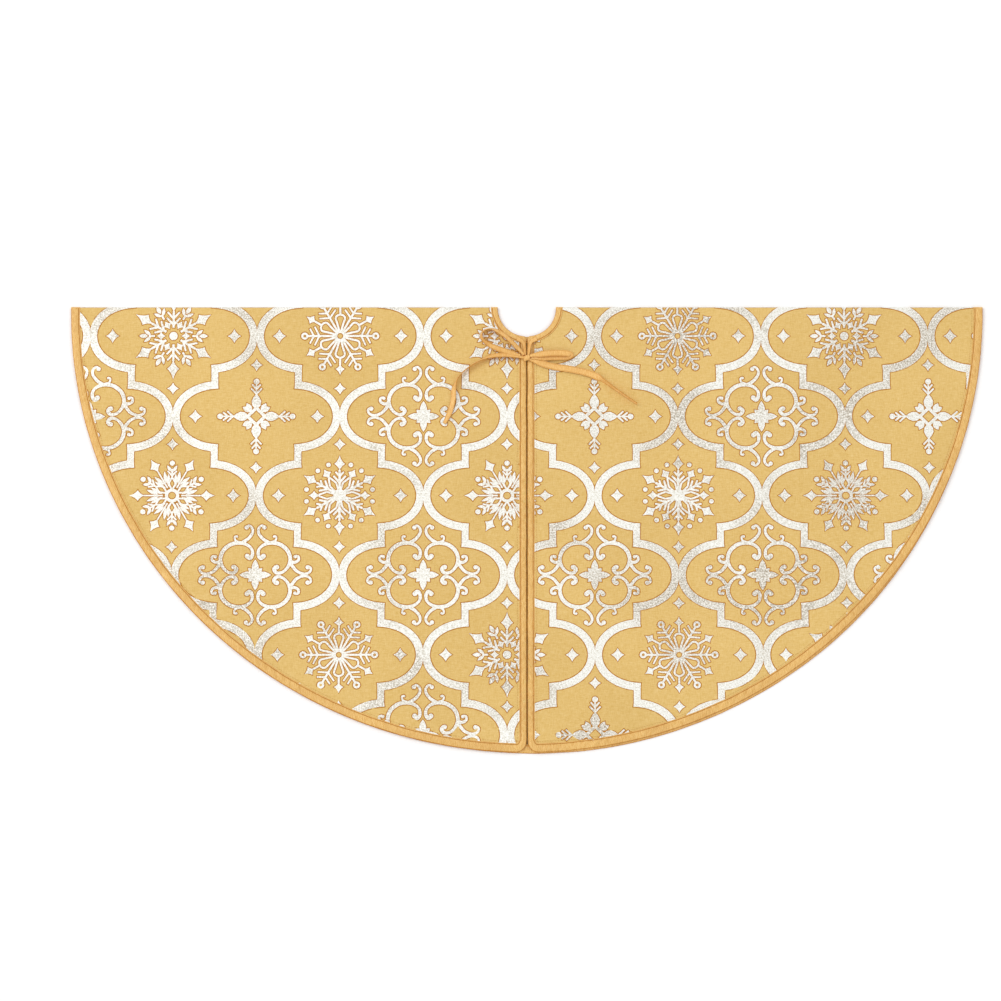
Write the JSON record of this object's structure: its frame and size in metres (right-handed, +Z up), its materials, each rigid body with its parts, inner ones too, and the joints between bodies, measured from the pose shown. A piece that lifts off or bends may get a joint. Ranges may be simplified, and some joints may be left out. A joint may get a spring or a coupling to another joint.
{
  "type": "tree skirt",
  "caption": "Round cloth tree skirt folded in half, with one slit from neck to hem, taped edges and neck ties in a bow.",
  "frame": {"origin": "centre of the neck opening on the fold line, at the surface that the skirt lies on", "axes": "+X along the fold, -Y down the slit to the front of the hem, +Z up out of the printed front half"},
  "size_m": [1.22, 0.6115, 0.0123],
  "materials": {
    "printed_cloth": "woven polyester with a metallic foil print",
    "lining_cloth": "plain thin woven lining",
    "edge_tape": "satin bias tape, stitched",
    "tie_tape": "narrow folded tape, stitched along both edges"
  },
  "bodies": {
    "front_half": {"bow_knot": "tie_tape", "left_bow_loop": "tie_tape", "left_front_face": "printed_cloth", "left_front_hem_tape": "edge_tape", "left_front_lining": "lining_cloth", "left_front_neck_tape": "edge_tape", "left_front_slit_tape": "edge_tape", "left_tie_stub": "tie_tape", "left_tie_tail": "tie_tape", "right_bow_loop": "tie_tape", "right_front_face": "printed_cloth", "right_front_hem_tape": "edge_tape", "right_front_lining": "lining_cloth", "right_front_neck_tape": "edge_tape", "right_front_slit_tape": "edge_tape", "right_tie_stub": "tie_tape", "right_tie_tail": "tie_tape"},
    "back_half": {"back_face": "printed_cloth", "back_hem_tape": "edge_tape", "back_lining": "lining_cloth", "back_neck_tape": "edge_tape"},
    "left_corner": {"left_corner_face": "printed_cloth", "left_corner_hem_tape": "edge_tape", "left_corner_lining": "lining_cloth", "left_corner_slit_tape": "edge_tape"},
    "right_corner": {"right_corner_face": "printed_cloth", "right_corner_hem_tape": "edge_tape", "right_corner_lining": "lining_cloth", "right_corner_slit_tape": "edge_tape"}
  },
  "joints": [
    {"name": "fold", "type": "hinge", "parent": "front_half", "child": "back_half", "pos_m": [0, 0, 0.002], "axis": [1, 0, 0], "range_deg": [0, 179.9]},
    {"name": "left_turn_back", "type": "hinge", "parent": "front_half", "child": "left_corner", "pos_m": [0, -0.185, 0.0045], "axis": [-0.7071, -0.7071, 0], "range_deg": [0, 179]},
    {"name": "right_turn_back", "type": "hinge", "parent": "front_half", "child": "right_corner", "pos_m": [0, -0.185, 0.0045], "axis": [-0.7071, 0.7071, 0], "range_deg": [0, 179]}
  ]
}
